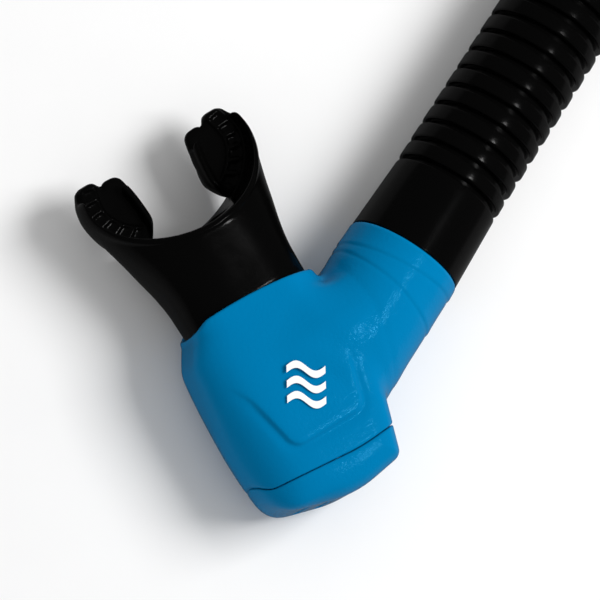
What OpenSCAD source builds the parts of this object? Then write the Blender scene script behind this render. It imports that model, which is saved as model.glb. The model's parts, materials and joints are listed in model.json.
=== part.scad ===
// Dry-top snorkel with a swivelling, flexible lower hose.
// Origin: where the mouthpiece axis (+Y) crosses the hose axis, on the mid-plane. +Z is up when the snorkel lies flat.

/* [Chamber] */
// Thickness of the chamber, front to back
chamber_t = 35.6; // [34:0.2:36]
// Wall of the chamber and the purge cap
wall = 2.2; // [1.8:0.1:2.6]
// Half width of the mouth opening in the chamber
mouth_half_w = 20.6; // [20.2:0.1:20.8]
// Half height of the mouth opening in the chamber
mouth_half_h = 13.4; // [13:0.1:13.6]
// Height of the raised front panel over the chamber face
panel_rise = 0.7; // [0.4:0.1:1]
// Gap at the seam between the chamber and the purge cap
seam_gap = 0.3; // [0.2:0.05:0.5]

/* [Branch] */
// Angle between the hose axis and +X
hose_angle = 25; // [23:1:27]
// Outer radius of the branch and its collar
branch_r = 18.5; // [18.3:0.1:18.8]
// Distance from the origin to the end of the collar
collar_end = 56; // [55:0.5:57]
// Bore of the collar that the hose spigot turns in
collar_bore_r = 15.2; // [15:0.1:15.4]

/* [Hose] */
// Distance from the origin to the end of the lower cuff
cuff_end = 80.4; // [79:0.2:82]
// Outer radius of the lower cuff at the collar
cuff_r = 18.3; // [18:0.1:18.5]
// Outer radius of the hose rings
ring_r = 17; // [16.8:0.1:17.2]
// Distance from one ring to the next
ring_pitch = 6.75; // [6.6:0.05:6.9]
// Gap between two rings
ring_gap = 1.4; // [1.35:0.05:1.6]
// Inner radius of the hose
hose_bore_r = 13.6; // [13.4:0.1:13.7]

/* [Tube] */
// Outer radius of the breathing tube
tube_r = 13.5; // [13.3:0.1:13.6]
// Wall of the breathing tube
tube_wall = 1.9; // [1.6:0.1:2.2]
// Length of the straight lower part of the tube
tube_straight = 75; // [70:1:80]
// Radius of the bend in the tube
bend_r = 260; // [250:5:280]
// Angle of the bend in the tube
bend_angle = 20; // [15:1:22]
// Length of the straight upper end of the tube
tube_end = 22; // [20:1:26]

/* [Dry top] */
// Half thickness of the dry top
top_half_t = 17.5; // [17:0.5:18.5]
// How far the valve lever is open at rest
lever_open = 18; // [14:1:18]
// Radius of the valve disc
disc_r = 10.6; // [10.4:0.1:10.8]

/* [Keeper] */
// Distance from the origin to the middle of the keeper
keeper_at = 234; // [228:1:236]
// Width of the mask strap that the clip takes
strap_w = 26; // [24:1:27]
// Height of the gap for the mask strap
strap_gap = 5; // [4.6:0.2:5.6]

/* [Hidden] */

$fn = 96;
arc_steps = 6;
clear = 0.05;            // running clearance, on the radius
blue = [0, 0.45, 0.72];
black = [0.09, 0.09, 0.1];
grey = [0.55, 0.57, 0.6];
steel = [0.75, 0.76, 0.78];

front_z = chamber_t / 2;
neck_from = 29;          // where the mouthpiece neck starts inside the chamber
cuff_tip_r = 17.25;
spigot_r = 15;
spigot_bore_r = 12.6;
clip_bore_r = 16.4;
clip_at = 42.4;
shoulder_at = 44;
ring_count = 14;
ring_w = ring_pitch - ring_gap;
hose_neck_r = 14.9;
socket_r = 15.35;
socket_depth = 2.6;
hose_top = cuff_end + ring_count * ring_pitch + ring_gap;
cuff_upper_len = 24;
tube_start = hose_top + 9;
tube_bore_r = tube_r - tube_wall;
tube_end_r = tube_r - 0.1;
seal_groove_r = tube_end_r - 1;
bead_r = tube_r + 0.8;
bead_at = tube_start + 2.5;

// ---- helpers -------------------------------------------------------------------------------------------------

function unit(v) = v / norm(v);

// points of the arc of radius b.z that rounds corner b of the path a, b, c
function corner_arc(a, b, c) =
    let (tip = [b.x, b.y],
         u = unit([a.x, a.y] - tip),
         v = unit([c.x, c.y] - tip),
         half = acos(u * v) / 2,
         centre = tip + unit(u + v) * b.z / sin(half),
         start = tip + u * b.z / tan(half) - centre,
         end = tip + v * b.z / tan(half) - centre,
         from = atan2(start.y, start.x),
         raw = atan2(end.y, end.x) - from,
         turn = raw > 180 ? raw - 360 : raw < -180 ? raw + 360 : raw)
    b.z == 0 ? [tip] : [for (i = [0:arc_steps]) centre + b.z * [cos(from + turn * i / arc_steps),
                                                              sin(from + turn * i / arc_steps)]];

// closed outline through corners [x, y, radius]
function rounded(p) =
    let (n = len(p)) [for (i = [0:n - 1]) each corner_arc(p[(i + n - 1) % n], p[i], p[(i + 1) % n])];

// centred rectangle with rounded corners
function rounded_box(half_x, half_y, r) =
    rounded([[-half_x, -half_y, r], [half_x, -half_y, r], [half_x, half_y, r], [-half_x, half_y, r]]);

// places children at a distance along the hose axis, local +Z along the hose
module on_hose(along = 0) {
    rotate([0, 0, hose_angle]) rotate([0, 90, 0]) translate([0, 0, along]) children();
}

// solid ring of revolution between two distances along the axis
module tube_ring(outer, inner, from, to) {
    difference() {
        translate([0, 0, from]) cylinder(r = outer, h = to - from);
        translate([0, 0, from - 1]) cylinder(r = inner, h = to - from + 2);
    }
}

// slab in the X-Z plane between two Y values, children are a 2D outline in X and Z
module across(from, to) {
    translate([0, to, 0]) rotate([90, 0, 0]) linear_extrude(to - from) children();
}

// ---- chamber -------------------------------------------------------------------------------------------------

front_outline = rounded([[-19.4, 37.2, 1.5], [-27.4, 27, 9], [-30.4, -3, 40], [-28, -23.6, 9], [-3.5, -29.4, 36],
    [14, -26.6, 3.5], [19.8, -9, 2], [22.6, 30, 4], [21.4, 37.2, 1.5]]);
cross_section = rounded([[-30.4, -front_z, 16], [23, -front_z, 9], [23, front_z, 9], [-30.4, front_z, 16]]);
side_outline = rounded([[-29.4, -front_z, 9], [14, -front_z, 30], [37.2, -front_z + 2.6, 3], [37.2, front_z - 2.6, 3],
    [14, front_z, 30], [-29.4, front_z, 9]]);
seam_curve = rounded([[-50, -60, 0], [50, -60, 0], [50, -15.4, 0], [3, -18.2, 60], [-26, -15.4, 4], [-36, -1.6, 0],
    [-50, -1.6, 0]]);
panel_outline = rounded([[-14.8, -8.4, 4.5], [10, -8.6, 4.5], [13.4, 12, 3], [-18.6, 12, 3]]);

// outer form of the chamber and its cap, drawn in by inset
module chamber_form(inset = 0) {
    intersection() {
        translate([0, 0, -30]) linear_extrude(60) offset(delta = -inset) polygon(front_outline);
        across(-50, 50) offset(delta = -inset) polygon(cross_section);
        rotate([90, 0, 90]) translate([0, 0, -50]) linear_extrude(100) offset(delta = -inset) polygon(side_outline);
    }
}

// everything below the seam
module below_seam() {
    translate([0, 0, -40]) linear_extrude(80) polygon(seam_curve);
}

module mouth_outline(grow = 0) {
    polygon(rounded_box(mouth_half_w + grow, mouth_half_h + grow, 9 + grow));
}

// shallow slanted groove round the branch
module branch_groove(along, tilt, depth) {
    on_hose(along) rotate([tilt, 0, 0]) difference() {
        cylinder(r = 30, h = 1);
        translate([0, 0, -1]) cylinder(r = branch_r - depth, h = 3);
    }
}

module housing_shell() color(blue) {
    difference() {
        union() {
            difference() {
                chamber_form();
                translate([0, seam_gap, 0]) below_seam();
            }
            on_hose(13) cylinder(r = branch_r, h = collar_end - 13);
            linear_extrude(front_z + panel_rise) polygon(panel_outline);
        }
        intersection() {
            chamber_form(wall);
            across(seat_y + seat_t, 33) square([70, 50], center = true);
        }
        intersection() {
            chamber_form(wall - 0.6);
            across(-40, seat_y + seat_t) square([70, 50], center = true);
        }
        across(neck_from - 0.1, 40) mouth_outline();
        on_hose(4) cylinder(r = clip_bore_r, h = shoulder_at - 4);
        on_hose(40) cylinder(r = collar_bore_r, h = 20);
        branch_groove(49.4, 6, 0.6);
        branch_groove(42.6, -10, 0.5);
        branch_groove(31, -25, 0.4);
    }
}

module purge_cap() color(blue) {
    difference() {
        intersection() {
            chamber_form();
            below_seam();
        }
        chamber_form(wall);
        for (x = [-18:7:10])
            across(-40, -20) translate([x, 0]) polygon(rounded_box(1.6, 9, 1.5));
    }
}

// ---- purge valve ---------------------------------------------------------------------------------------------

seat_y = -11;
seat_t = 2;
seat_x = -5;
flap_lift = 1.5;
stem_r = 1.5;

// slice of the chamber's form between two Y values
module slice(inset, from, to) {
    intersection() {
        chamber_form(inset);
        across(from, to) square([80, 60], center = true);
    }
}

module purge_seat() color(grey) {
    difference() {
        slice(wall - 0.4, seat_y, seat_y + seat_t);
        across(seat_y - 1, seat_y + seat_t + 1) translate([seat_x, 0]) circle(r = stem_r + clear);
        for (a = [0:60:300])
            across(seat_y - 1, seat_y + seat_t + 1)
                translate([seat_x + 6.6 * cos(a), 6.6 * sin(a)]) circle(r = 2.8);
    }
}

module purge_gasket() color(black) {
    difference() {
        slice(wall + 0.1, seat_y + seat_t, seat_y + seat_t + 1);
        slice(wall + 2.4, seat_y, seat_y + seat_t + 2);
    }
}

module purge_flap() color([0.8, 0.82, 0.85]) {
    across(seat_y - 0.9, seat_y - 0.02) translate([seat_x, 0]) circle(r = 11.5);
    across(seat_y - 0.5, seat_y + seat_t + flap_lift + 2) translate([seat_x, 0]) circle(r = stem_r);
    across(seat_y + seat_t + flap_lift + 0.1, seat_y + seat_t + flap_lift + 1.6)
        translate([seat_x, 0]) circle(r = stem_r + 0.9);
}

// ---- emblem --------------------------------------------------------------------------------------------------

mark_x = -2;
mark_y = 6.2;
mark_turn = -31;
ripple_len = 12;
ripple_rise = 1.5;
ripple_w = 2.2;

// one even band that waves once along its length
module ripple(y) {
    wave = [for (i = [0:32]) [ripple_len * (i / 32 - 0.5), ripple_rise * sin(360 * i / 32)]];
    translate([0, y]) polygon([
        for (p = wave) p + [0, ripple_w / 2],
        for (i = [32:-1:0]) wave[i] - [0, ripple_w / 2]]);
}

module emblem() color("white") {
    translate([mark_x, mark_y, front_z + panel_rise]) rotate([0, 0, mark_turn]) linear_extrude(0.3)
        for (y = [-4.6, 0, 4.6])
            ripple(y);
}

// ---- mouthpiece ----------------------------------------------------------------------------------------------

shield_centre_y = 90;
bite_z = -3.2;
shield_r = 29.6;
shield_t = 2.2;
lip_half_h = 17.6;
core_wall = 1.8;
silicone = 2.2;
clamp_at = 30.2;
clamp_w = 3.4;
clamp_depth = 0.9;

module mouth_bore(grow = 0) {
    polygon(rounded_box(mouth_half_w - silicone - core_wall + grow, mouth_half_h - silicone - core_wall + grow,
        5 + grow));
}

module shield() {
    intersection() {
        translate([0, shield_centre_y, -lip_half_h])
            rotate([0, 0, 180]) rotate_extrude(angle = 180) translate([shield_r - shield_t, 0])
                square([shield_t, 2 * lip_half_h]);
        across(40, 100) polygon(rounded_box(shield_r, lip_half_h, 15));
    }
}

// bite tab on one side: plate, gripping ridge and tall inner lug
module bite_tab(side) {
    mirror([side < 0 ? 1 : 0, 0, 0]) translate([0, 0, bite_z]) {
        translate([0, 0, -1.5]) linear_extrude(3)
            polygon(rounded([[11.5, 67, 2], [20, 63, 2], [28, 78, 3], [26.5, 91, 4], [11.5, 89, 3.5]]));
        for (y = [74:4:86])
            translate([21.5, y, -2.6]) cylinder(r = 1.6, h = 5.2);
        translate([0, 0, -4.4]) linear_extrude(9.4)
            polygon(rounded([[11.2, 67.5, 1], [13.7, 67.5, 1], [13.2, 88, 1.1], [10.8, 88, 1.1]]));
    }
}

module mouthpiece() color(black) {
    difference() {
        union() {
            across(neck_from, 63) mouth_outline(-clear);
            shield();
            bite_tab(1);
            bite_tab(-1);
        }
        across(neck_from - 1, 50) offset(delta = core_wall + clear) mouth_bore();
        across(49, 70) mouth_bore();
        across(clamp_at, clamp_at + clamp_w) difference() {
            mouth_outline(5);
            mouth_outline(-clamp_depth - 0.05);
        }
    }
}

module mouth_spigot() color(grey) {
    across(neck_from - 3, 49.5) difference() {
        offset(delta = core_wall) mouth_bore();
        mouth_bore();
    }
    across(neck_from - 3, neck_from - 0.5) difference() {
        mouth_outline(-0.8);
        mouth_bore();
    }
}

module mouthpiece_clamp() color(grey) {
    across(clamp_at + 0.1, clamp_at + clamp_w - 0.1) difference() {
        mouth_outline(-clear - 0.05);
        mouth_outline(-clamp_depth);
    }
}

// ---- hose ----------------------------------------------------------------------------------------------------

module hose_spigot() color(grey) {
    on_hose() difference() {
        union() {
            tube_ring(collar_bore_r - clear, spigot_bore_r, 39, collar_end - 0.2);
            tube_ring(spigot_r - clear, spigot_bore_r, collar_end - 0.3, cuff_end - 2.5);
        }
        tube_ring(30, 14.1, clip_at - 0.15, clip_at + 1.35);
        tube_ring(30, 13.3, 49, 51);
    }
}

module swivel_seal() color(black) {
    on_hose(50) rotate_extrude() translate([14.25, 0]) circle(r = 0.9, $fn = 32);
}

module swivel_clip() color(steel) {
    on_hose(clip_at) rotate_extrude(angle = 325) translate([14.2, 0]) square([2.05, 1.2]);
}

module hose_cuff_lower() color(black) {
    on_hose() rotate_extrude() polygon([
        [spigot_r, collar_end + 0.2],
        each corner_arc([spigot_r, collar_end + 0.2, 0], [cuff_r, collar_end + 0.2, 0.6], [cuff_r - 0.5, 66, 0]),
        [17.55, 68],
        each corner_arc([17.55, 68, 0], [cuff_tip_r, cuff_end, 0.8], [hose_neck_r, cuff_end, 0]),
        [hose_neck_r, cuff_end],
        [hose_neck_r, cuff_end + ring_gap + 1.2],
        [hose_bore_r, cuff_end + ring_gap + 1.2],
        [hose_bore_r, cuff_end - 2],
        [spigot_r, cuff_end - 2]]);
}

// one ring of the hose: a socket for the ring before it, and a neck that reaches into the next
module hose_ring(number) color(black) {
    start = cuff_end + ring_gap + (number - 1) * ring_pitch;
    on_hose(start) rotate_extrude() polygon([
        [socket_r, 0],
        each corner_arc([socket_r, 0, 0], [ring_r, 0, 0.9], [ring_r, ring_w, 0]),
        each corner_arc([ring_r, 0, 0], [ring_r, ring_w, 0.9], [hose_neck_r, ring_w, 0]),
        [hose_neck_r, ring_w],
        [hose_neck_r, ring_w + ring_gap + 1.2],
        [hose_bore_r, ring_w + ring_gap + 1.2],
        [hose_bore_r, socket_depth],
        [socket_r, socket_depth]]);
}

module hose_cuff_upper() color(black) {
    on_hose() rotate_extrude() polygon([
        [socket_r, hose_top],
        each corner_arc([socket_r, hose_top, 0], [cuff_tip_r, hose_top, 0.8], [16.6, hose_top + cuff_upper_len, 0]),
        each corner_arc([cuff_tip_r, hose_top, 0], [16.4, hose_top + cuff_upper_len, 1.2],
            [tube_r + clear, hose_top + cuff_upper_len, 0]),
        [tube_r + clear, hose_top + cuff_upper_len],
        [tube_r + clear, bead_at + 1.2],
        [bead_r + clear, bead_at + 1.2],
        [bead_r + clear, bead_at - 1.2],
        [tube_r + clear, bead_at - 1.2],
        [tube_r + clear, tube_start - 0.4],
        [hose_bore_r - 1.2, tube_start - 0.4],
        [hose_bore_r - 1.2, hose_top + socket_depth],
        [socket_r, hose_top + socket_depth]]);
}

// ---- breathing tube ------------------------------------------------------------------------------------------

// places children at the start of the bend, local +Z along the tube
module at_bend() {
    on_hose(tube_start + tube_straight) children();
}

// places children along the bend or past its end, local +Z along the tube
module past_bend(along = 0, turn = bend_angle) {
    at_bend() translate([0, bend_r, 0]) rotate([-turn, 0, 0]) translate([0, -bend_r, along]) children();
}

// arc of the tube, children are its 2D section
module bend(from = 0, angle = bend_angle) {
    at_bend() translate([0, bend_r, 0]) rotate([-from, 0, 0]) rotate([0, -90, 0]) rotate([0, 0, -90])
        rotate_extrude(angle = angle, $fn = 360) translate([bend_r, 0]) children();
}

module upper_tube() color(black) {
    on_hose() {
        tube_ring(tube_r, tube_bore_r, tube_start, tube_start + tube_straight);
        tube_ring(bead_r, tube_bore_r, bead_at - 1, bead_at + 1);
    }
    bend() difference() {
        circle(r = tube_r);
        circle(r = tube_bore_r);
    }
    past_bend() difference() {
        tube_ring(tube_end_r, tube_bore_r + 0.1, -0.2, tube_end);
        tube_ring(30, seal_groove_r, tube_end - 8.8, tube_end - 7.2);
    }
}

module tube_band() color(blue) {
    bend(bend_angle - 5, 4) difference() {
        circle(r = tube_r + 0.5);
        circle(r = tube_r + 0.02);
    }
}

// ---- dry top -------------------------------------------------------------------------------------------------
// local frame: +Z up the tube, X through the thickness, origin at the end of the tube

module on_top() {
    past_bend(tube_end) children();
}

socket_top_r = top_half_t - 2;
lever_y = -13.5;
lever_z = 12.5;
tail = 10;
float_drop = tail * tan(lever_open);
ear_x = 9;
lever_pin_r = 1.25;
link_pin_r = 1.2;
shaft_x = 11.6;
float_floor = -21.5;
seat_top = 10;
top_outline = rounded([[-top_half_t, -32, 7], [top_half_t, -32, 7], [top_half_t, 17.8, 12], [-top_half_t, 17.8, 12]]);

// circle drilled or stood along X
module along_x(y, z, r, half) {
    translate([-half, y, z]) rotate([0, 90, 0]) cylinder(r = r, h = 2 * half);
}

module top_base() color(blue) {
    on_top() difference() {
        union() {
            translate([0, 0, -18]) cylinder(r = socket_top_r, h = 20);
            translate([0, 0, 1]) cylinder(r = 11.6, h = seat_top - 1.6);
            translate([0, 0, seat_top - 1]) cylinder(r = 10, h = 1);
            translate([0, 0, -24.5]) linear_extrude(2.5) offset(delta = -2) polygon(top_outline);
            translate([0, 0, -24.5]) cylinder(r = socket_top_r, h = 10);
            for (side = [-1, 1])
                translate([side * (ear_x + 1.2) - 1.2, lever_y - 2.6, 0]) cube([2.4, 9, lever_z + 2.6]);
        }
        translate([0, 0, -30]) cylinder(r = tube_r + 0.08, h = 30);
        translate([0, 0, -1]) cylinder(r = 8.6, h = 20);
        along_x(lever_y, lever_z, lever_pin_r + 0.02, 20);
        for (x = [-9:6:9])
            translate([x - 1.5, -28.5, -30]) cube([3, 11, 10]);
    }
}

module top_seal() color(black) {
    on_top() translate([0, 0, -8]) rotate_extrude() translate([(seal_groove_r + tube_r) / 2, 0])
        circle(r = (tube_r - seal_groove_r) / 2 - 0.02, $fn = 32);
}

// turns the lever's parts from closed to their resting, open place
module at_lever() {
    on_top() translate([0, lever_y, lever_z]) rotate([lever_open, 0, 0]) translate([0, -lever_y, -lever_z]) children();
}

module valve_lever() color(grey) {
    at_lever() difference() {
        union() {
            along_x(lever_y, lever_z, 2.3, ear_x - 0.4);
            translate([-6, lever_y, lever_z - 0.2]) cube([12, -lever_y + 5, 1.8]);
            translate([-4.5, lever_y - tail - 2.6, lever_z - 2]) cube([9, tail + 2, 4]);
        }
        along_x(lever_y, lever_z, lever_pin_r + clear, 20);
        for (shift = [-0.4, 0.4])
            along_x(lever_y - tail + shift, lever_z, link_pin_r + 0.15, 20);
        translate([-10, lever_y - tail - 0.4, lever_z - link_pin_r - 0.15])
            cube([20, 0.8, 2 * link_pin_r + 0.3]);
    }
}

module valve_disc() color([0.12, 0.12, 0.13]) {
    at_lever() difference() {
        translate([0, 0, seat_top + 0.15]) cylinder(r = disc_r, h = lever_z - 0.22 - seat_top - 0.15);
        along_x(lever_y, lever_z, 2.5, 20);
    }
}

module lever_pin() color(steel) {
    on_top() along_x(lever_y, lever_z, lever_pin_r, shaft_x);
}

module float() color([0.93, 0.93, 0.9]) {
    on_top() translate([0, 0, -float_drop]) difference() {
        union() {
            translate([0, 0, float_floor + 4.5]) linear_extrude(22)
                polygon(rounded([[-12, -28.6, 4], [12, -28.6, 4], [12, -17.6, 2], [-12, -17.6, 2]]));
            for (side = [-1, 1])
                translate([side * 6.4 - 1.4, lever_y - tail - 2.8, 4]) cube([2.8, 5.6, lever_z - 4 + 2.6]);
        }
        along_x(lever_y - tail, lever_z, link_pin_r + 0.02, 20);
    }
}

module link_pin() color(steel) {
    on_top() translate([0, 0, -float_drop]) along_x(lever_y - tail, lever_z, link_pin_r, 7.6);
}

module top_cover() color(blue) {
    on_top() difference() {
        translate([0, 0, -24.5]) linear_extrude(53) polygon(top_outline);
        translate([0, 0, -30]) linear_extrude(56.5) offset(delta = -1.9) polygon(top_outline);
        for (z = [-6:6:18])
            translate([-30, -24, z]) cube([60, 16, 2.4]);
        for (x = [-9:6:9])
            translate([x - 1.2, 10, 12]) cube([2.4, 20, 10]);
    }
}

// ---- keeper --------------------------------------------------------------------------------------------------

sleeve_r = 15;
keeper_r = 17.4;
keeper_half = 8;
boss_top = 19.5;
rivet_r = 3;
plate_top = 22.6;
frame_half_x = strap_w / 2 + 3;

// keeper's middle, with the row's own directions
module at_keeper() {
    translate([keeper_at * cos(hose_angle), keeper_at * sin(hose_angle), 0]) children();
}

module keeper_sleeve() color(black) {
    on_hose(keeper_at) {
        tube_ring(sleeve_r, tube_r + clear, -11, 11);
        for (side = [-1, 1])
            translate([0, 0, side * 9.8]) tube_ring(sleeve_r + 1.4, sleeve_r - 0.5, -1.2, 1.2);
    }
}

module keeper_ring() color(blue) {
    difference() {
        union() {
            on_hose(keeper_at) tube_ring(keeper_r, sleeve_r + clear, -keeper_half, keeper_half);
            at_keeper() translate([0, 0, sleeve_r + 1]) cylinder(r = 7.4, h = boss_top - sleeve_r - 1);
        }
        at_keeper() translate([0, 0, sleeve_r + 0.6]) cylinder(r = rivet_r, h = 10);
    }
}

module clip_rivet() color(steel) {
    at_keeper() {
        translate([0, 0, sleeve_r + 0.6]) cylinder(r = rivet_r - 0.02, h = plate_top - sleeve_r - 1.6);
        translate([0, 0, plate_top - 1.4]) cylinder(r = 5, h = 1.2);
    }
}

module strap_clip() color(black) {
    at_keeper() difference() {
        union() {
            translate([0, 0, boss_top + 0.1]) linear_extrude(plate_top - boss_top - 0.1)
                polygon(rounded_box(frame_half_x, 10, 3));
            for (side = [-1, 1])
                translate([side * (strap_w / 2 + 1.5) - 1.5, -7, plate_top - 0.5]) cube([3, 14, strap_gap + 1]);
            translate([0, 0, plate_top + strap_gap]) linear_extrude(2.2)
                polygon(rounded_box(frame_half_x, 7, 2.5));
        }
        translate([0, 0, boss_top - 1]) cylinder(r = rivet_r + clear, h = 10);
        translate([0, 0, plate_top - 1.5]) cylinder(r = 5.2, h = 1.6);
    }
}

housing_shell();
purge_cap();
purge_seat();
purge_gasket();
purge_flap();
emblem();
mouthpiece();
mouth_spigot();
mouthpiece_clamp();
hose_spigot();
swivel_seal();
swivel_clip();
hose_cuff_lower();
hose_ring(1);  // hose_ring_01
hose_ring(2);  // hose_ring_02
hose_ring(3);  // hose_ring_03
hose_ring(4);  // hose_ring_04
hose_ring(5);  // hose_ring_05
hose_ring(6);  // hose_ring_06
hose_ring(7);  // hose_ring_07
hose_ring(8);  // hose_ring_08
hose_ring(9);  // hose_ring_09
hose_ring(10);  // hose_ring_10
hose_ring(11);  // hose_ring_11
hose_ring(12);  // hose_ring_12
hose_ring(13);  // hose_ring_13
hose_ring(14);  // hose_ring_14
hose_cuff_upper();
upper_tube();
tube_band();
keeper_sleeve();
keeper_ring();
strap_clip();
clip_rivet();
top_base();
top_seal();
valve_lever();
valve_disc();
lever_pin();
float();
link_pin();
top_cover();
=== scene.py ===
import json
import math

import bpy
import numpy as np
import openvdb
from mathutils import Matrix, Vector


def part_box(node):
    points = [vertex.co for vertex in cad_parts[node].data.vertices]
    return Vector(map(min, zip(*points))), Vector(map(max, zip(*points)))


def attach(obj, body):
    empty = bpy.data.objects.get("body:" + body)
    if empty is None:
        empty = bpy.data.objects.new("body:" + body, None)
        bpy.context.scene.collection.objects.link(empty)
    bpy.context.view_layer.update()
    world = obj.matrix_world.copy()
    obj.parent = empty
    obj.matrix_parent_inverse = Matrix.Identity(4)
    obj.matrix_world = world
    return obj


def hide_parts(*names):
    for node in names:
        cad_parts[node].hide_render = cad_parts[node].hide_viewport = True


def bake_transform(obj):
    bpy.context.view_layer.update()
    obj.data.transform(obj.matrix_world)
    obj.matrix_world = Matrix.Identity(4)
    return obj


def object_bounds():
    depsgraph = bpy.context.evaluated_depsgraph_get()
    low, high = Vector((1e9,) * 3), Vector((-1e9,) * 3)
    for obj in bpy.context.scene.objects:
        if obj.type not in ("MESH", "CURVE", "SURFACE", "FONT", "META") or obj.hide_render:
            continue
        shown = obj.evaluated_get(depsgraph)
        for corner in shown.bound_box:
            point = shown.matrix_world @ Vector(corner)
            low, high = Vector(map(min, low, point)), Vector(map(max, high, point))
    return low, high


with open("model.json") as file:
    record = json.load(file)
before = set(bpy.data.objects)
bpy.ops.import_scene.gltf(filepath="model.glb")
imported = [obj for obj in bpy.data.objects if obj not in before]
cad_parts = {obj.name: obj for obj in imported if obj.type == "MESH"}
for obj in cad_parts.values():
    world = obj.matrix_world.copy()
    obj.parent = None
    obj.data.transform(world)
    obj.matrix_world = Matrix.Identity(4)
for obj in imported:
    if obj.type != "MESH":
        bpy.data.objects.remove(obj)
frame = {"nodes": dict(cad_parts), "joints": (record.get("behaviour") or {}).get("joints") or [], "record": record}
cad_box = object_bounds()

# Lengths below are in millimetres in the row frame, and MM turns them into Blender's metres.
MM = 0.001

# ---- places read from the frame ------------------------------------------------------------------

JOINTS = {j["name"]: j for j in frame["joints"]}
AXIS = np.array(JOINTS["hose_swivel"]["axis"], float)  # along the hose
SIDE = np.array([-AXIS[1], AXIS[0], 0.0])  # across the hose, towards the mouth
UP = np.array([0.0, 0.0, 1.0])


def joint_along(name):
    """Distance of a joint from the origin along the hose, in mm."""
    return float(np.dot(JOINTS[name]["pos_m"], AXIS)) / MM


BENDS = sorted(n for n in JOINTS if n.startswith("hose_bend_"))
GROOVES = [joint_along(n) for n in BENDS]  # middle of each groove of the hose
GROOVE_W = 1.4
COLLAR_END = 56.0  # end of the branch
CUFF_END = GROOVES[0] - GROOVE_W / 2
HOSE_TOP = GROOVES[-1] + GROOVE_W / 2
CUFF_UPPER_LENGTH = 24.0
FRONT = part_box("housing_shell")[1].z / MM - 0.7  # front face of the chamber
WALL = 2.2
RING_R = 17.4
RING_INSET = 1.0  # from the middle of a groove to the ring
RING_TAPER = math.radians(1.0)  # rings are thinner on the outer side of the hose
HOSE_BORE = 13.6
MEMBRANE_R = 15.2  # outside of the thin wall in a groove
MEMBRANE_BORE = 14.3
MOUTH_HALF = (20.6, 13.4)  # half width and half height of the mouth opening

# ---- distance fields -----------------------------------------------------------------------------


def smooth_min(a, b, k):
    """Union of two fields, with a fillet about k wide where they meet."""
    h = np.maximum(k - np.abs(a - b), 0.0) / k
    return np.minimum(a, b) - h * h * k * 0.25


def smooth_max(a, b, k):
    """Intersection of two fields, with an edge rounded over about k."""
    return -smooth_min(-a, -b, k)


def ease(t):
    """Smooth step from 0 to 1 as t goes from 0 to 1."""
    t = np.clip(t, 0.0, 1.0)
    return t * t * (3.0 - 2.0 * t)


def corner_arc(a, b, c, steps):
    """Points of the arc that rounds corner b = (x, y, radius) of the path a, b, c."""
    tip = np.array(b[:2], float)
    u = np.array(a[:2], float) - tip
    v = np.array(c[:2], float) - tip
    u /= np.linalg.norm(u)
    v /= np.linalg.norm(v)
    half = math.acos(float(np.clip(u @ v, -1, 1))) / 2
    if b[2] == 0:
        return [tip]
    middle = (u + v) / np.linalg.norm(u + v)
    centre = tip + middle * b[2] / math.sin(half)
    start = tip + u * b[2] / math.tan(half) - centre
    end = tip + v * b[2] / math.tan(half) - centre
    first = math.atan2(start[1], start[0])
    turn = (math.atan2(end[1], end[0]) - first + math.pi) % (2 * math.pi) - math.pi
    angles = [first + turn * i / steps for i in range(steps + 1)]
    return [centre + b[2] * np.array([math.cos(a), math.sin(a)]) for a in angles]


def rounded(corners, steps=8):
    """Closed outline through corners (x, y, radius)."""
    n = len(corners)
    points = []
    for i in range(n):
        points += corner_arc(corners[i - 1], corners[i], corners[(i + 1) % n], steps)
    return np.array(points)


def outline_distance(points, x, y):
    """Signed distance to a closed outline, negative inside."""
    x, y = np.broadcast_arrays(x, y)
    best = np.full(x.shape, 1e9, np.float32)
    inside = np.zeros(x.shape, bool)
    for (ax, ay), (bx, by) in zip(points, np.roll(points, -1, axis=0)):
        ex, ey = bx - ax, by - ay
        length2 = ex * ex + ey * ey
        if length2 < 1e-12:
            continue
        wx, wy = x - ax, y - ay
        t = np.clip((wx * ex + wy * ey) / length2, 0.0, 1.0)
        dx, dy = wx - ex * t, wy - ey * t
        best = np.minimum(best, dx * dx + dy * dy)
        crosses = (ay > y) != (by > y)
        if ey != 0:
            inside ^= crosses & (x < ax + ex * (y - ay) / ey)
    return np.where(inside, -1.0, 1.0).astype(np.float32) * np.sqrt(best)


def super_ellipse(x, y, a, b, power):
    """Roughly the signed distance to a super-ellipse with half axes a and b."""
    q = (np.abs(x / a) ** power + np.abs(y / b) ** power) ** (1.0 / power)
    return (q - 1.0) * np.minimum(a, b)


class Grid:
    """A block of space that distance fields are sampled in."""

    def __init__(self, low, high, step):
        self.low = np.array(low, float)
        self.step = step
        axes = [np.arange(low[i], high[i] + step, step, dtype=np.float32) for i in range(3)]
        self.x = axes[0][:, None, None]
        self.y = axes[1][None, :, None]
        self.z = axes[2][None, None, :]
        self.shape = tuple(len(a) for a in axes)

    def mesh(self, name, field, origin=None, axes=None):
        """A mesh object of the surface where the field is zero, moved to an origin and axes if given."""
        field = np.broadcast_to(field, self.shape)
        limit = 3.0 * self.step
        vdb = openvdb.FloatGrid(limit)
        vdb.copyFromArray(np.ascontiguousarray(np.clip(field, -limit, limit), dtype=np.float32))
        points, quads = vdb.convertToQuads(0.0)
        points = np.array(points, float) * self.step + self.low
        if axes is not None:
            points = origin + points @ np.array(axes, float)
        return mesh_object(name, points, quads, smooth=2)


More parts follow.
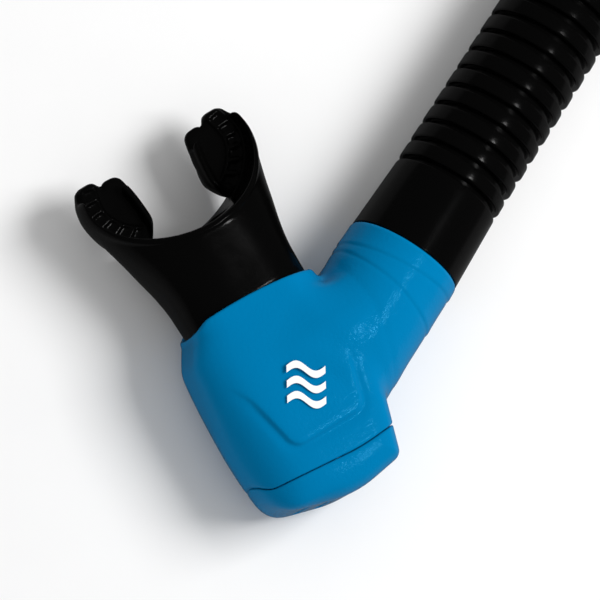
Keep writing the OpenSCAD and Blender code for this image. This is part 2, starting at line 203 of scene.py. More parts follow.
def mesh_object(name, points_mm, faces, smooth=0):
    """An object from points in mm and an array of faces, shaded smooth."""
    data = bpy.data.meshes.new(name)
    points = np.asarray(points_mm, float) * MM
    faces = np.asarray(faces)
    corners = faces.shape[1]
    data.vertices.add(len(points))
    data.vertices.foreach_set("co", points.astype(np.float32).ravel())
    data.loops.add(faces.size)
    data.loops.foreach_set("vertex_index", faces.astype(np.int32).ravel())
    data.polygons.add(len(faces))
    data.polygons.foreach_set("loop_start", np.arange(0, faces.size, corners, dtype=np.int32))
    data.polygons.foreach_set("use_smooth", np.ones(len(faces), bool))
    data.update(calc_edges=True)
    data.validate()
    obj = bpy.data.objects.new(name, data)
    bpy.context.scene.collection.objects.link(obj)
    if smooth:
        relax = obj.modifiers.new("relax", "SMOOTH")
        relax.factor = 0.5
        relax.iterations = smooth
    return obj


def revolve(name, rows, segments=144):
    """A closed skin through rings, each given as (centre, direction, radius), in mm."""
    points, faces = [], []
    for centre, direction, radius in rows:
        helper = UP if abs(direction[2]) < 0.9 else np.array([1.0, 0.0, 0.0])
        across = np.cross(helper, direction)
        across = across / np.linalg.norm(across)
        other = np.cross(direction, across)
        for i in range(segments):
            angle = 2 * math.pi * i / segments
            points.append(centre + radius * (across * math.cos(angle) + other * math.sin(angle)))
    for k in range(len(rows)):
        m = (k + 1) % len(rows)
        for i in range(segments):
            j = (i + 1) % segments
            faces.append((k * segments + i, k * segments + j, m * segments + j, m * segments + i))
    return mesh_object(name, points, np.array(faces))


def lathe(name, profile, start=None, axis=AXIS, segments=144):
    """Turns a closed profile of (radius, distance) round an axis through start."""
    start = np.zeros(3) if start is None else np.asarray(start, float)
    axis = np.asarray(axis, float) / np.linalg.norm(axis)
    rows = [(start + distance * axis, axis, radius) for radius, distance in profile]
    return revolve(name, rows, segments)


# ---- materials -----------------------------------------------------------------------------------


class Nodes:
    """Short way to write a node tree."""

    def __init__(self, tree):
        self.tree = tree

    def add(self, kind, inputs=None, **settings):
        node = self.tree.nodes.new(kind)
        for key, value in settings.items():
            setattr(node, key, value)
        for key, value in (inputs or {}).items():
            if isinstance(value, bpy.types.NodeSocket):
                self.tree.links.new(value, node.inputs[key])
            else:
                node.inputs[key].default_value = value
        return node

    def noise(self, where, scale, detail=3.0, roughness=0.5):
        return self.add("ShaderNodeTexNoise", {"Vector": where, "Scale": scale, "Detail": detail,
                                               "Roughness": roughness}).outputs["Fac"]

    def remap(self, value, low, high, to_low, to_high):
        return self.add("ShaderNodeMapRange", {"Value": value, "From Min": low, "From Max": high,
                                               "To Min": to_low, "To Max": to_high}).outputs["Result"]

    def mix(self, fac, a, b):
        node = self.add("ShaderNodeMix", data_type="RGBA")
        for index, value in ((0, fac), (6, a), (7, b)):
            if isinstance(value, bpy.types.NodeSocket):
                self.tree.links.new(value, node.inputs[index])
            else:
                node.inputs[index].default_value = value
        return node.outputs[2]

    def bump(self, height, strength, distance, normal=None):
        inputs = {"Height": height, "Strength": strength, "Distance": distance}
        if normal is not None:
            inputs["Normal"] = normal
        return self.add("ShaderNodeBump", inputs).outputs["Normal"]


def material(name, color, roughness, grain=0.02, grain_scale=2600.0, wave=0.0, wave_scale=300.0,
             specular=0.4, metallic=0.0, variation=0.06, tint=(1, 1, 1), spread=0.08):
    """Surface with slightly uneven colour and roughness; a grain and slow waves break its highlights."""
    mat = bpy.data.materials.new(name)
    mat.use_nodes = True
    n = Nodes(mat.node_tree)
    shader = mat.node_tree.nodes["Principled BSDF"]
    where = n.add("ShaderNodeTexCoord").outputs["Object"]
    cloud = n.noise(where, 45.0, 4.0)
    darker = tuple(c * (1 - variation) for c in color) + (1.0,)
    lighter = tuple(min(1.0, c * (1 + variation)) for c in color) + (1.0,)
    link = mat.node_tree.links.new
    link(n.mix(cloud, darker, lighter), shader.inputs["Base Color"])
    patches = n.noise(where, 160.0, 5.0, 0.6)
    link(n.remap(patches, 0.3, 0.7, roughness - spread, roughness + spread), shader.inputs["Roughness"])
    normal = n.bump(n.noise(where, grain_scale, 2.0), grain, 0.0004)
    if wave:
        normal = n.bump(n.noise(where, wave_scale, 3.0, 0.55), wave, 0.0006, normal)
    link(normal, shader.inputs["Normal"])
    shader.inputs["Specular IOR Level"].default_value = specular
    shader.inputs["Metallic"].default_value = metallic
    shader.inputs["Specular Tint"].default_value = (*tint, 1)
    return mat


def build_materials():
    return {
        "soft_blue": material("soft_blue", (0.0, 0.168, 0.378), 0.12, grain=0.05,
                              wave=0.15, wave_scale=900.0, specular=0.22, variation=0.03,
                              tint=(0.1, 0.6, 1.0), spread=0.03),
        "silicone_black": material("silicone_black", (0.0011, 0.0011, 0.0011), 0.16, grain=0.04,
                                   wave=0.06, wave_scale=180.0, specular=0.16, variation=0.2, spread=0.02),
        "hard_black": material("hard_black", (0.006, 0.006, 0.007), 0.28, grain=0.05, variation=0.15),
        "hard_grey": material("hard_grey", (0.22, 0.23, 0.25), 0.4, grain=0.05),
        "flap_clear": material("flap_clear", (0.62, 0.64, 0.66), 0.3, grain=0.03),
        "mark_white": material("mark_white", (0.86, 0.86, 0.86), 0.5, grain=0.05, variation=0.01),
        "steel": material("steel", (0.62, 0.63, 0.65), 0.2, grain=0.05, metallic=1.0, variation=0.03),
        "float_white": material("float_white", (0.8, 0.8, 0.76), 0.45, grain=0.2, grain_scale=1500.0),
    }


MATERIALS = build_materials()


def set_finish(obj, slot):
    obj.data.materials.clear()
    obj.data.materials.append(MATERIALS[slot])


def finish_piece(obj, slot, body, node):
    """Gives a piece its finish, and makes it ride on a body in place of a CAD node."""
    set_finish(obj, slot)
    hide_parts(node)
    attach(obj, body)


# ---- chamber -------------------------------------------------------------------------------------

# Outlines are corners (x, y, radius).
FRONT_OUTLINE = [(-20.8, 46, 1.5), (-21.4, 34.9, 3), (-26.5, 27.4, 9), (-30.6, -3, 40), (-27.5, -23, 12),
                 (-3.5, -29.6, 36), (14.3, -26.8, 3.5), (19.9, -9, 2), (23.4, 31, 2), (17.6, 46, 1.5)]
SEAM_CURVE = [(-50, -60, 0), (50, -60, 0), (50, -15.4, 0), (3, -18.2, 60), (-26, -15.4, 4),
              (-36, -1.6, 0), (-50, -1.6, 0)]
PANEL = [(-14.6, -8.5, 4.5), (10.2, -8.6, 4.5), (14.9, 9, 8), (26, 40, 3), (-33, 40, 3), (-18.8, 11, 12)]
PANEL_RISE = 0.75
# Folds of the branch: distance along the hose at its inner side, front and outer side, depth, width.
FOLDS = [(47.4, 49.2, 51.2, 0.42, 0.6), (44.8, 42.6, 38.6, 0.42, 0.6), (41.0, 33.0, 19.5, 0.26, 1.6)]
BRANCH_R = 18.55
BRANCH_BORE = 15.25
CLIP_BORE = 16.4  # wider part of the bore, for the swivel clip
BORE_FROM = 30.0  # where the bore starts, along the hose
SHOULDER_AT = 44.0  # where the wider part ends
CAVITY_TOP = 33.0
LEFT_X = -30.6  # left side of the chamber
RIGHT_X = 24.2  # where the front has run out towards the branch
CAP_SLOTS_X = range(-18, 11, 7)
SEAM_GAP = 0.06  # half of the gap at the seam
SEAT_Y = -10.0  # middle of the purge valve seat


def hose_coordinates(g):
    """Distance along the hose and offset across it, in the plane of the snorkel, over a grid."""
    along = g.x * AXIS[0] + g.y * AXIS[1]
    across = g.x * SIDE[0] + g.y * SIDE[1]
    return along, across


def branch_folds(along, across):
    """How far the branch stands in or out: slanted folds that fan out from the inner corner."""
    lean = across / 18.6
    rise = 0.0
    for at_inner, at_front, at_outer, depth, width in FOLDS:
        inner_side = at_front + (at_inner - at_front) * lean
        outer_side = at_front + (at_front - at_outer) * lean
        place = np.where(lean > 0, inner_side, outer_side)
        q = along - place
        weight = depth * (0.55 + 0.45 * np.abs(lean))
        crest = 0.8 * np.exp(-np.maximum(q, 0.0) / 2.6) * ease((q + width) / (2 * width))
        groove = 0.6 * np.exp(-(q / width) ** 2)
        rise = rise + weight * (crest - groove)
    return rise


def chamber_field(g):
    """Outer form of the chamber and its cap, without the branch."""
    front = outline_distance(rounded(FRONT_OUTLINE), g.x, g.y)
    crown = 0.5 * ((g.x + 4) / 26) ** 2 + 0.5 * ((g.y - 4) / 32) ** 2
    shoulder = 2.1 * ease((g.y - 14) / 24) ** 1.2
    thick = np.abs(g.z) - (FRONT + 0.1 - crown - shoulder)
    body = smooth_max(front, thick, 9.0)
    left = smooth_max(thick, LEFT_X - g.x, 22.0)
    towards_branch = smooth_max(thick, g.x - RIGHT_X, 1.0 + 18.0 * ease((g.y - 2) / 20))
    return smooth_max(smooth_max(body, left, 2.0), towards_branch, 0.5)


def branch_field(g):
    """Branch that carries the hose, with the distance along it and from its axis."""
    along, across = hose_coordinates(g)
    radius = np.sqrt(across ** 2 + g.z ** 2)
    sink = 1.5 * ease((28 - along) / 16) * (np.abs(g.z) / (radius + 0.01)) ** 4
    swell = BRANCH_R + 0.25 * ease((30 - along) / 10) - sink
    tube = radius - swell - branch_folds(along, across)
    return smooth_max(tube, along - COLLAR_END, 1.2), along, radius


def raised_panel(g):
    """How far the front panel stands out; its edge fades towards the mouth and the branch."""
    panel = outline_distance(rounded(PANEL), g.x, g.y)
    fade = 1.0 - ease((g.y - 2 + 0.5 * np.maximum(g.x, 0.0)) / 17)
    facing = ease((g.z - 8) / 5)
    step = PANEL_RISE * ease((0.7 - panel) / 1.4)
    groove = 0.28 * np.exp(-((panel - 0.9) / 1.6) ** 2)
    return (step - groove) * fade * facing


def housing_shell():
    """Chamber and branch in one moulding, hollow, and open at the mouth, the hose and the seam."""
    g = Grid((-34, -31, -21), (62, 44, 21), 0.36)
    branch, along, radius = branch_field(g)
    rim = 38.4 - 2.2 * ((g.x + 9) / 25) ** 2 - 1.6 * ease((-g.x - 16) / 5)
    chamber = smooth_max(chamber_field(g), g.y - rim, 0.8)
    fillet = 3.0 + 7.0 * ease((g.y - 4) / 16) * ease((np.abs(g.z) - 7) / 8)
    outer = smooth_min(chamber, smooth_max(branch, 10 - along, 6.0), fillet) - raised_panel(g)

    wall = np.where(g.y < SEAT_Y + 1, WALL - 0.6, WALL)
    cavity = np.maximum(outer + wall, g.y - CAVITY_TOP)
    shell = smooth_max(outer, -cavity, 0.4)
    mouth = super_ellipse(g.x, g.z, MOUTH_HALF[0] + 0.15, MOUTH_HALF[1] + 0.15, 3.2)
    shell = smooth_max(shell, -np.maximum(mouth, 20 - g.y), 0.5)
    bore = np.maximum(radius - BRANCH_BORE, BORE_FROM - along)
    wide_bore = np.maximum(radius - CLIP_BORE, np.maximum(along - SHOULDER_AT, BORE_FROM - along))
    shell = smooth_max(shell, -np.minimum(bore, wide_bore), 0.4)
    seam = outline_distance(rounded(SEAM_CURVE), g.x, g.y)
    shell = smooth_max(shell, SEAM_GAP - seam, 0.7)
    finish_piece(g.mesh("housing_shell_form", shell), "soft_blue", "chamber", "housing_shell")


def purge_cap():
    """Bottom cover below the seam, with outlet slots."""
    g = Grid((-34, -33, -21), (26, -6, 21), 0.36)
    outer = chamber_field(g) + 0.05
    cap = smooth_max(outer, -(outer + WALL), 0.3)
    for x in CAP_SLOTS_X:
        slot = np.maximum(np.abs(g.x - x) - 1.1, np.abs(g.z) - 8)
        cap = smooth_max(cap, -np.maximum(slot, g.y + 20), 0.8)
    seam = outline_distance(rounded(SEAM_CURVE), g.x, g.y)
    cap = smooth_max(cap, seam + SEAM_GAP, 0.7)
    finish_piece(g.mesh("purge_cap_form", cap), "soft_blue", "chamber", "purge_cap")


def purge_seat():
    """Plate with seven holes that the flap closes, and the gasket on top of it."""
    g = Grid((-31, -12.4, -19), (21, -6.6, 19), 0.3)
    chamber = chamber_field(g)
    seat = smooth_max(chamber + WALL - 0.35, np.abs(g.y - SEAT_Y) - 1.0, 0.4)
    low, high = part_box("purge_flap")
    stem_x = (low[0] + high[0]) / 2 / MM
    holes = [(0.0, 0.0, 1.65)]
    for degrees in range(0, 360, 60):
        angle = math.radians(degrees)
        holes.append((6.6 * math.cos(angle), 6.6 * math.sin(angle), 2.8))
    for x, z, r in holes:
        seat = smooth_max(seat, r - np.sqrt((g.x - stem_x - x) ** 2 + (g.z - z) ** 2), 0.3)
    finish_piece(g.mesh("purge_seat_form", seat), "hard_grey", "chamber", "purge_seat")
    ring = smooth_max(np.abs(chamber + WALL + 1.3) - 1.1, np.abs(g.y - SEAT_Y - 1.5) - 0.5, 0.3)
    finish_piece(g.mesh("purge_gasket_form", ring), "silicone_black", "chamber", "purge_gasket")


# ---- mouthpiece ----------------------------------------------------------------------------------

NECK_BASE = 29.2
LIP_CENTRE = 84.0  # centre of the oval hollow behind the lip shield
LIP_OVAL = (28.0, 21.6)  # half axes of that hollow
SHIELD_HALF = (29.3, 18.1)  # half width and half height of the lip shield
TIP = 89.6
BITE_Z = -3.2  # middle of the bite tabs
TAB_PLAN = [(18, 62, 1), (13.4, 67.8, 4), (10.2, 72.8, 4), (10.9, 84, 6), (12, 89.3, 3.2),
            (17.6, 89.6, 2.6), (18.6, 88, 0.5), (19, 91.2, 3.4), (26.8, 91.2, 3.6), (30, 84, 4), (30, 64, 2)]
TAB_HALF_T = 1.5
TREAD_HALF_T = 2.6
POCKETS = 6  # in the treads of each bite tab
POCKET_STEP = 11.6  # degrees from one pocket to the next


def curl(g):
    """How far the tips of the lip shield turn in."""
    return 0.02 * np.maximum(g.y - 80, 0.0) ** 2


def hollow_distance(g):
    """Distance to the wall of the hollow behind the lip shield, negative in the hollow."""
    a, b = LIP_OVAL
    x = np.abs(g.x) + curl(g)
    y = np.minimum(g.y - LIP_CENTRE, 0.0)
    r = np.sqrt((x / a) ** 2 + (y / b) ** 2) + 1e-6
    slope = np.sqrt((x / a ** 2) ** 2 + (y / b ** 2) ** 2) / r + 1e-6
    return np.maximum((r - 1.0) / slope, -12.0)


def neck_and_shield(g, hollow):
    """Neck that widens into the curved lip shield, with a bead along its rim."""
    bead = 0.5 * ease((2.3 - hollow) / 0.6)
    widen = ease((g.y - 43) / 39.5)
    deepen = np.clip((g.y - 38.0) / 21.8, 0.0, 1.0)
    a = MOUTH_HALF[0] - 0.1 + (SHIELD_HALF[0] - MOUTH_HALF[0]) * widen
    a = a - curl(g) - 0.3 * ease((g.y - 56) / 12)
    b = MOUTH_HALF[1] - 0.1 + (SHIELD_HALF[1] - MOUTH_HALF[1]) * deepen
    power = 3.2 - 1.0 * ease((g.y - 44) / 26)
    outer = super_ellipse(g.x, g.z, a, b, power) - bead
    body = smooth_max(outer, -hollow, 1.3)
    return smooth_max(body, g.y - TIP, 4.0)


def bite_tab(g, hollow):
    """Bite tab: a plate, a band of treads with pockets, and an inner lug for the teeth to hold."""
    x = np.abs(g.x)
    z = g.z - BITE_Z
    plan = outline_distance(rounded(TAB_PLAN), x, g.y)
    plate = smooth_max(plan, np.abs(z) - TAB_HALF_T, 1.4)
    tread = np.abs(hollow + 3.2) - 2.9
    tread = smooth_max(smooth_max(tread, np.abs(z) - TREAD_HALF_T, 1.2), plan, 1.2)
    turn = np.degrees(np.arctan2(LIP_CENTRE - g.y, x * 0.8))
    for k in range(POCKETS):
        along = np.radians(turn + 13.0 - POCKET_STEP * k) * 22.0
        pocket = np.maximum(np.abs(along) - 1.2, np.abs(hollow + 3.4) - 1.6)
        pocket = np.maximum(pocket, 2.0 - np.abs(z))
        tread = smooth_max(tread, -pocket, 0.9)
    lug_low = -8.6 + 0.07 * (g.y - 74) ** 2
    lug = np.abs(x - 11.6 - 0.012 * (g.y - 74) ** 2) - 1.2
    lug = smooth_max(smooth_max(lug, g.z - 1.9, 1.8), lug_low - g.z, 1.8)
    lug = smooth_max(lug, plan, 1.0)
    tab = smooth_min(smooth_min(plate, tread, 0.8), lug, 1.6)
    return smooth_max(tab, hollow - 1.0, 0.5)


def mouthpiece():
    """Silicone moulding: neck, lip shield and two bite tabs, hollow where it sits on its frame."""
    g = Grid((-34, 28, -22), (34, 95, 22), 0.34)
    hollow = hollow_distance(g)
    whole = smooth_min(neck_and_shield(g, hollow), bite_tab(g, hollow), 1.0)
    bore = super_ellipse(g.x, g.z, MOUTH_HALF[0] - 4.0, MOUTH_HALF[1] - 4.0, 3.0)
    whole = smooth_max(whole, -np.maximum(bore, g.y - 63), 0.8)
    spigot = super_ellipse(g.x, g.z, MOUTH_HALF[0] - 2.15, MOUTH_HALF[1] - 2.15, 4.0)
    whole = np.maximum(whole, -np.maximum(spigot, g.y - 50))
    under_clamp = super_ellipse(g.x, g.z, MOUTH_HALF[0] - 0.9, MOUTH_HALF[1] - 0.9, 4.0)
    groove = np.maximum(np.abs(g.y - 31.9) - 1.75, -under_clamp)
    whole = np.maximum(whole, -groove)
    whole = smooth_max(whole, NECK_BASE - g.y, 0.6)
    finish_piece(g.mesh("mouthpiece_form", whole), "silicone_black", "chamber", "mouthpiece")


# ---- hose ----------------------------------------------------------------------------------------


def round_corner(a, b, c):
    return [tuple(p) for p in corner_arc(a, b, c, 6)]


def cuff_profile(bottom, top, outer, inner):
    """Closed profile with small rounded ends; outer is a list of (radius, distance)."""
    first, second = np.array(outer[0]), np.array(outer[1])
    points = [(inner, bottom)]
    points += round_corner((inner, bottom), (outer[0][0], bottom, 0.15), outer[1])
    points += [tuple(first * 0.9 + second * 0.1)]
    points += outer[1:-1]
    points += round_corner(outer[-2], (outer[-1][0], top, 0.9), (inner, top))
    points += [(inner, top)]
    return points


def lower_cuff():
    bottom = COLLAR_END + 0.2
    length = CUFF_END - bottom
    outer = [(18.3 - 1.05 * i / 8, bottom + length * i / 8) for i in range(9)]
    cuff = lathe("hose_cuff_lower_form", cuff_profile(bottom, CUFF_END, outer, 15.0))
    finish_piece(cuff, "silicone_black", "hose_base", "hose_cuff_lower")


def hose_ring(body, start, end):
    """Ring between two grooves, slightly wedge shaped."""
    bore = HOSE_BORE + 0.3
    profile = [(bore, start)]
    profile += round_corner((14, start), (RING_R, start, 0.7), (RING_R, end))
    profile += round_corner((RING_R, start), (RING_R - 0.1, end, 0.8), (14, end))
    profile += [(bore, end)]
    rows = []
    for radius, distance in profile:
        tilt = RING_TAPER if distance > (start + end) / 2 else -RING_TAPER
        rows.append((AXIS * distance, AXIS * math.cos(tilt) - SIDE * math.sin(tilt), radius))
    ring = revolve(f"hose_{body}_form", rows)
    finish_piece(ring, "silicone_black", body, "hose_" + body)


def membrane(index):
    """Thin wall at the bottom of a groove, between the rings on both sides of it."""
    middle = GROOVES[index]
    half = GROOVE_W / 2 + 1.0
    steps = 12
    outer = [(MEMBRANE_R, middle - half + 2 * half * k / steps) for k in range(steps + 1)]
    inner = [(MEMBRANE_BORE, middle + half - 2 * half * k / steps) for k in range(steps + 1)]
    obj = lathe(f"hose_groove_{index + 1:02d}", outer + inner)
    set_finish(obj, "silicone_black")
    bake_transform(obj)


def upper_cuff():
    outer = [(17.25 - 0.75 * ease(i / 8), HOSE_TOP + CUFF_UPPER_LENGTH * i / 8) for i in range(9)]
    profile = cuff_profile(HOSE_TOP, HOSE_TOP + CUFF_UPPER_LENGTH, outer, 13.55)
    finish_piece(lathe("hose_cuff_upper_form", profile), "silicone_black", "hose_end", "hose_cuff_upper")


def hose():
    lower_cuff()
    for i, bend in enumerate(BENDS[:-1]):
        hose_ring(JOINTS[bend]["child"], GROOVES[i] + RING_INSET, GROOVES[i + 1] - RING_INSET)
    for i, bend in enumerate(BENDS):
        membrane(i)
    upper_cuff()


# ---- breathing tube and dry top ------------------------------------------------------------------

TUBE_R = 13.5
TUBE_BORE = 11.6
BEND_R = 260.0
TOP_UP = np.array(JOINTS["float_slide"]["axis"], float)  # up the end of the tube
TOP_SIDE = np.array([-TOP_UP[1], TOP_UP[0], 0.0])
TOP_AXES = (-UP, TOP_SIDE, TOP_UP)
TOP_END = np.array(JOINTS["lever_close"]["pos_m"], float) / MM + 13.5 * TOP_SIDE - 12.5 * TOP_UP
BEND_END = TOP_END - 22.0 * TOP_UP
BEND_CENTRE = BEND_END + BEND_R * TOP_SIDE
BEND_START = BEND_CENTRE - BEND_R * SIDE
BEND_ANGLE = math.acos(float(AXIS @ TOP_UP))


def on_bend(angle):
    """Centre and direction of the tube at an angle along its bend."""
    turned = math.atan2(AXIS[1], AXIS[0]) + angle
    side = np.array([-math.sin(turned), math.cos(turned), 0.0])
    return BEND_CENTRE - BEND_R * side, np.array([math.cos(turned), math.sin(turned), 0.0])


def upper_tube():
    """Straight part, bend and straight end, with slightly rounded edges."""
    start = BEND_START - 75.0 * AXIS
    path = [(start + AXIS * d, AXIS) for d in (0.0, 0.6, 25.0, 50.0)]
    path += [on_bend(BEND_ANGLE * i / 40) for i in range(41)]
    path += [(BEND_END + TOP_UP * d, TOP_UP) for d in (11.0, 21.4, 22.0)]
    last = len(path) - 1
    outer = [(c, d, TUBE_R - (0.5 if i in (0, last) else 0.0)) for i, (c, d) in enumerate(path)]
    inner = [(c, d, TUBE_BORE + (0.4 if i in (0, last) else 0.0)) for i, (c, d) in enumerate(path)]
    tube = revolve("upper_tube_form", outer + inner[::-1])
    finish_piece(tube, "hard_black", "tube", "upper_tube")


def tube_band():
    rows = []
    for angle, radius in ((15, 13.56), (15, 13.8), (15.15, 14.05), (18.85, 14.05), (19, 13.8), (19, 13.56)):
        centre, direction = on_bend(math.radians(angle))
        rows.append((centre, direction, radius))
    band = revolve("tube_band_form", rows)
    finish_piece(band, "soft_blue", "tube", "tube_band")


def top_cover():
    """Vented cover: a rounded box with a domed end, side slots, and a waist line."""
    half = 17.5
    g = Grid((-20, -35, -26), (20, 21, 31), 0.44)
    corners = [(-half, -32, 7), (half, -32, 7), (half, 17.8, 12), (-half, 17.8, 12)]
    plan = outline_distance(rounded(corners), g.x, g.y)
    waist = 0.45 * np.exp(-((g.z + 15.5) / 0.7) ** 2) - 0.35 * ease((g.z + 15.5) / 1.0)
    dome = g.z - 28.4 + 0.006 * (g.y + 6) ** 2 + 0.012 * g.x ** 2
    outer = smooth_max(smooth_max(plan + waist, dome, 9.0), -24.5 - g.z, 1.0)
    cavity = smooth_max(plan + 1.9, dome + 2.2, 7.0)
    shell = smooth_max(outer, -cavity, 0.6)
    for k in range(5):
        slot_z = -4.8 + 6 * k
        slot = smooth_max(np.abs(g.y + 16) - 8, np.abs(g.z - slot_z) - 1.2, 1.2)
        shell = smooth_max(shell, -np.maximum(slot, 12 - np.abs(g.x)), 0.7)
    for k in range(4):
        slot_x = -9 + 6 * k
        slot = smooth_max(np.abs(g.x - slot_x) - 1.2, np.abs(g.z - 17) - 5, 1.2)
        shell = smooth_max(shell, -np.maximum(slot, 12 - g.y), 0.7)
    obj = g.mesh("top_cover_form", shell, origin=TOP_END, axes=TOP_AXES)
    finish_piece(obj, "soft_blue", "tube", "top_cover")


# ---- mask-strap keeper ---------------------------------------------------------------------------

KEEPER = np.array(JOINTS["keeper_turn"]["pos_m"], float) / MM
BOSS_TOP = 19.5
PLATE_TOP = 22.6  # top of the clip's plate
BAR_T = 2.2
BAR_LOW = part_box("strap_clip")[1].z / MM - BAR_T
CLIP_HALF = 16.0


def keeper_sleeve():
    """Soft sleeve with a flange at each end."""
    half = [(15.0, 8.5), (16.1, 8.7), (16.4, 9.3), (16.4, 10.3), (16.1, 10.9), (14.9, 11), (13.55, 11)]
    profile = [(radius, -distance) for radius, distance in reversed(half)] + half
    sleeve = lathe("keeper_sleeve_form", profile, start=KEEPER)
    finish_piece(sleeve, "silicone_black", "keeper_slider", "keeper_sleeve")


def keeper_ring():
    """Grooved ring with a boss that holds the rivet of the strap clip."""
    g = Grid((-20, -20, -19), (20, 20, 21), 0.4)
    along, across = hose_coordinates(g)
    radius = np.sqrt(across ** 2 + g.z ** 2)
    turn = np.arctan2(across, g.z)
    grip = 0.22 * np.cos(36 * turn) * ease((np.abs(turn) - 0.75) / 0.2) * ease((6.4 - np.abs(along)) / 1.2)
    ring = smooth_max(radius - 17.2 - grip, np.abs(along) - 8, 1.6)
    from_rivet = np.sqrt(g.x ** 2 + g.y ** 2)
    boss = smooth_max(from_rivet - 7.4, np.maximum(g.z - BOSS_TOP, 14 - g.z), 0.8)
    body = smooth_max(smooth_min(ring, boss, 2.4), 15.08 - radius, 0.4)
    rivet_hole = np.where(g.z < 15, -50.0, 3.0 - from_rivet)
    body = np.maximum(body, rivet_hole)
    obj = g.mesh("keeper_ring_form", body, origin=KEEPER, axes=np.eye(3))
    finish_piece(obj, "soft_blue", "keeper", "keeper_ring")


def clip_rivet():
    profile = [(0.01, 15.7), (2.9, 15.7), (2.95, PLATE_TOP - 1.4), (4.7, PLATE_TOP - 1.4),
               (5.0, PLATE_TOP - 1.1), (4.6, PLATE_TOP - 0.5), (3.2, PLATE_TOP - 0.25),
               (0.01, PLATE_TOP - 0.15)]
    rivet = lathe("clip_rivet_form", profile, start=KEEPER, axis=UP, segments=72)
    finish_piece(rivet, "steel", "keeper", "clip_rivet")


def rounded_box(g, half_x, half_y, radius):
    """Distance to a rounded rectangle in the XY plane."""
    corners = [(-half_x, -half_y, radius), (half_x, -half_y, radius), (half_x, half_y, radius),
               (-half_x, half_y, radius)]
    return outline_distance(rounded(corners), g.x, g.y)


def strap_clip():
    """Frame that the mask strap threads through: a plate, two posts, and a bar over them."""
    g = Grid((-18, -12, 18), (18, 12, 32), 0.3)
    plate_height = np.maximum(BOSS_TOP + 0.1 - g.z, g.z - PLATE_TOP)
    plate = smooth_max(rounded_box(g, CLIP_HALF, 10, 3), plate_height, 1.2)
    bar_height = np.abs(g.z - BAR_LOW - BAR_T / 2) - BAR_T / 2
    bar = smooth_max(rounded_box(g, CLIP_HALF, 7, 2.5), bar_height, 1.2)
    posts_plan = smooth_max(np.abs(np.abs(g.x) - CLIP_HALF + 1.5) - 1.5, np.abs(g.y) - 7, 1.2)
    posts = smooth_max(posts_plan, np.maximum(PLATE_TOP - 1 - g.z, g.z - BAR_LOW - 1), 0.5)
    window = smooth_max(np.abs(g.x) - 9, np.abs(g.y) - 2.6, 2.0)
    bar = smooth_max(bar, -window, 0.8)
    frame_form = smooth_min(smooth_min(plate, posts, 1.6), bar, 1.6)
    from_rivet = np.sqrt(g.x ** 2 + g.y ** 2)
    frame_form = np.maximum(frame_form, 3.05 - from_rivet)
    head_recess = np.maximum(from_rivet - 5.2, np.maximum(21.1 - g.z, g.z - 24))
    frame_form = smooth_max(frame_form, -head_recess, 0.3)
    obj = g.mesh("strap_clip_form", frame_form, origin=KEEPER, axes=np.eye(3))
    finish_piece(obj, "hard_black", "strap_frame", "strap_clip")


# ---- CAD nodes that stay -------------------------------------------------------------------------


def finish_cad_nodes():
    """Materials and softened edges for the CAD nodes."""
    slots = {s["node"]: s["material_slot"] for s in frame["record"]["subparts"]}
    for name, obj in frame["nodes"].items():
        set_finish(obj, slots[name])
        bevel = obj.modifiers.new("bevel", "BEVEL")
        bevel.width = 0.35 * MM
        bevel.segments = 2
        bevel.limit_method = "ANGLE"
        bevel.angle_limit = math.radians(40)


# ---- stage ---------------------------------------------------------------------------------------

# Directions that the camera and the lights look from, seen from the middle of the picture.
TO_CAMERA = Vector((-0.292, 0.0, 0.956)).normalized()
MOUTH_UP = Vector((0, 1, 0))
PICTURE_RIGHT = MOUTH_UP.cross(TO_CAMERA).normalized()
CENTRE = (PICTURE_RIGHT * 15.04 + MOUTH_UP * 28.69) * MM
CAMERA_DISTANCE = 3.0
CAMERA_ROLL = math.atan2(0.52, 0.854)
KEY_RISE = math.radians(52)
KEY_HEADING = Vector((0.951, -0.31, 0.0))
SPARKLE_DIRECTION = Vector((0.358, -0.219, 0.908))
LIGHT_DISTANCE = 1.2


def studio_floor():
    """Pale paper floor, darker in reflections."""
    low = cad_box[0][2]
    bpy.ops.mesh.primitive_plane_add(size=6.0, location=(0.1, 0.1, low - 0.0002))
    floor = bpy.context.object
    floor.name = "floor"
    mat = bpy.data.materials.new("floor_paper")
    mat.use_nodes = True
    shader = mat.node_tree.nodes["Principled BSDF"]
    n = Nodes(mat.node_tree)
    mirrored = n.add("ShaderNodeLightPath").outputs["Is Glossy Ray"]
    grain = n.noise(n.add("ShaderNodeTexCoord").outputs["Object"], 60.0, 4.0)
    paper = n.mix(grain, (0.85, 0.85, 0.85, 1), (0.87, 0.87, 0.87, 1))
    reflected = n.mix(mirrored, paper, (0.15, 0.15, 0.15, 1))
    mat.node_tree.links.new(reflected, shader.inputs["Base Color"])
    shader.inputs["Roughness"].default_value = 0.9
    shader.inputs["Specular IOR Level"].default_value = 0.1
    floor.data.materials.append(mat)


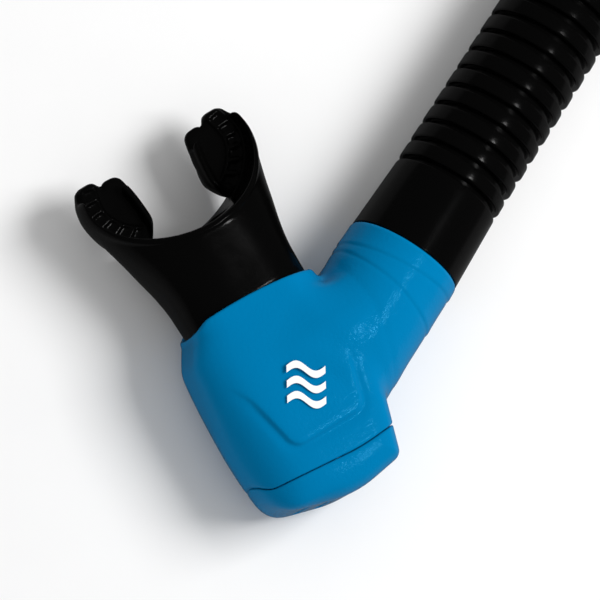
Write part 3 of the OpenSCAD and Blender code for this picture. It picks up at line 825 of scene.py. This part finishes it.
def studio_camera():
    up = MOUTH_UP * math.cos(CAMERA_ROLL) + PICTURE_RIGHT * math.sin(CAMERA_ROLL)
    across = up.cross(TO_CAMERA).normalized()
    turned = Matrix((across, up, TO_CAMERA)).transposed().to_4x4()
    camera = bpy.data.objects.new("camera", bpy.data.cameras.new("camera"))
    camera.data.lens = 600.0
    camera.data.sensor_width = 36.0
    camera.data.clip_end = 60.0
    camera.matrix_world = Matrix.Translation(CENTRE + TO_CAMERA * CAMERA_DISTANCE) @ turned
    bpy.context.scene.collection.objects.link(camera)
    bpy.context.scene.camera = camera


def area_light(name, direction, size, power):
    """Square light that faces the middle of the picture."""
    data = bpy.data.lights.new(name, "AREA")
    data.energy = power
    data.shape = "SQUARE"
    data.size = size
    lamp = bpy.data.objects.new(name, data)
    lamp.location = CENTRE + direction * LIGHT_DISTANCE
    lamp.rotation_euler = (-direction).to_track_quat("-Z", "Y").to_euler()
    bpy.context.scene.collection.objects.link(lamp)
    return lamp


def studio_lights():
    """A broad key light that makes no highlights, and a small light that makes only highlights."""
    key_direction = KEY_HEADING * math.cos(KEY_RISE) + Vector((0, 0, math.sin(KEY_RISE)))
    area_light("key", key_direction, 0.6, 13.2).visible_glossy = False
    area_light("sparkle", SPARKLE_DIRECTION, 0.09, 0.9).visible_diffuse = False

    world = bpy.data.worlds.new("studio")
    bpy.context.scene.world = world
    world.use_nodes = True
    n = Nodes(world.node_tree)
    mirrored = n.add("ShaderNodeLightPath").outputs["Is Glossy Ray"]
    background = world.node_tree.nodes["Background"]
    strength = n.remap(mirrored, 0, 1, 0.55, 0.07)
    world.node_tree.links.new(strength, background.inputs["Strength"])
    background.inputs["Color"].default_value = (1, 1, 1, 1)
    bpy.context.scene.view_settings.view_transform = "Standard"


finish_cad_nodes()
housing_shell()
purge_cap()
purge_seat()
mouthpiece()
hose()
upper_tube()
tube_band()
top_cover()
keeper_sleeve()
keeper_ring()
clip_rivet()
strap_clip()
studio_floor()
studio_camera()
studio_lights()
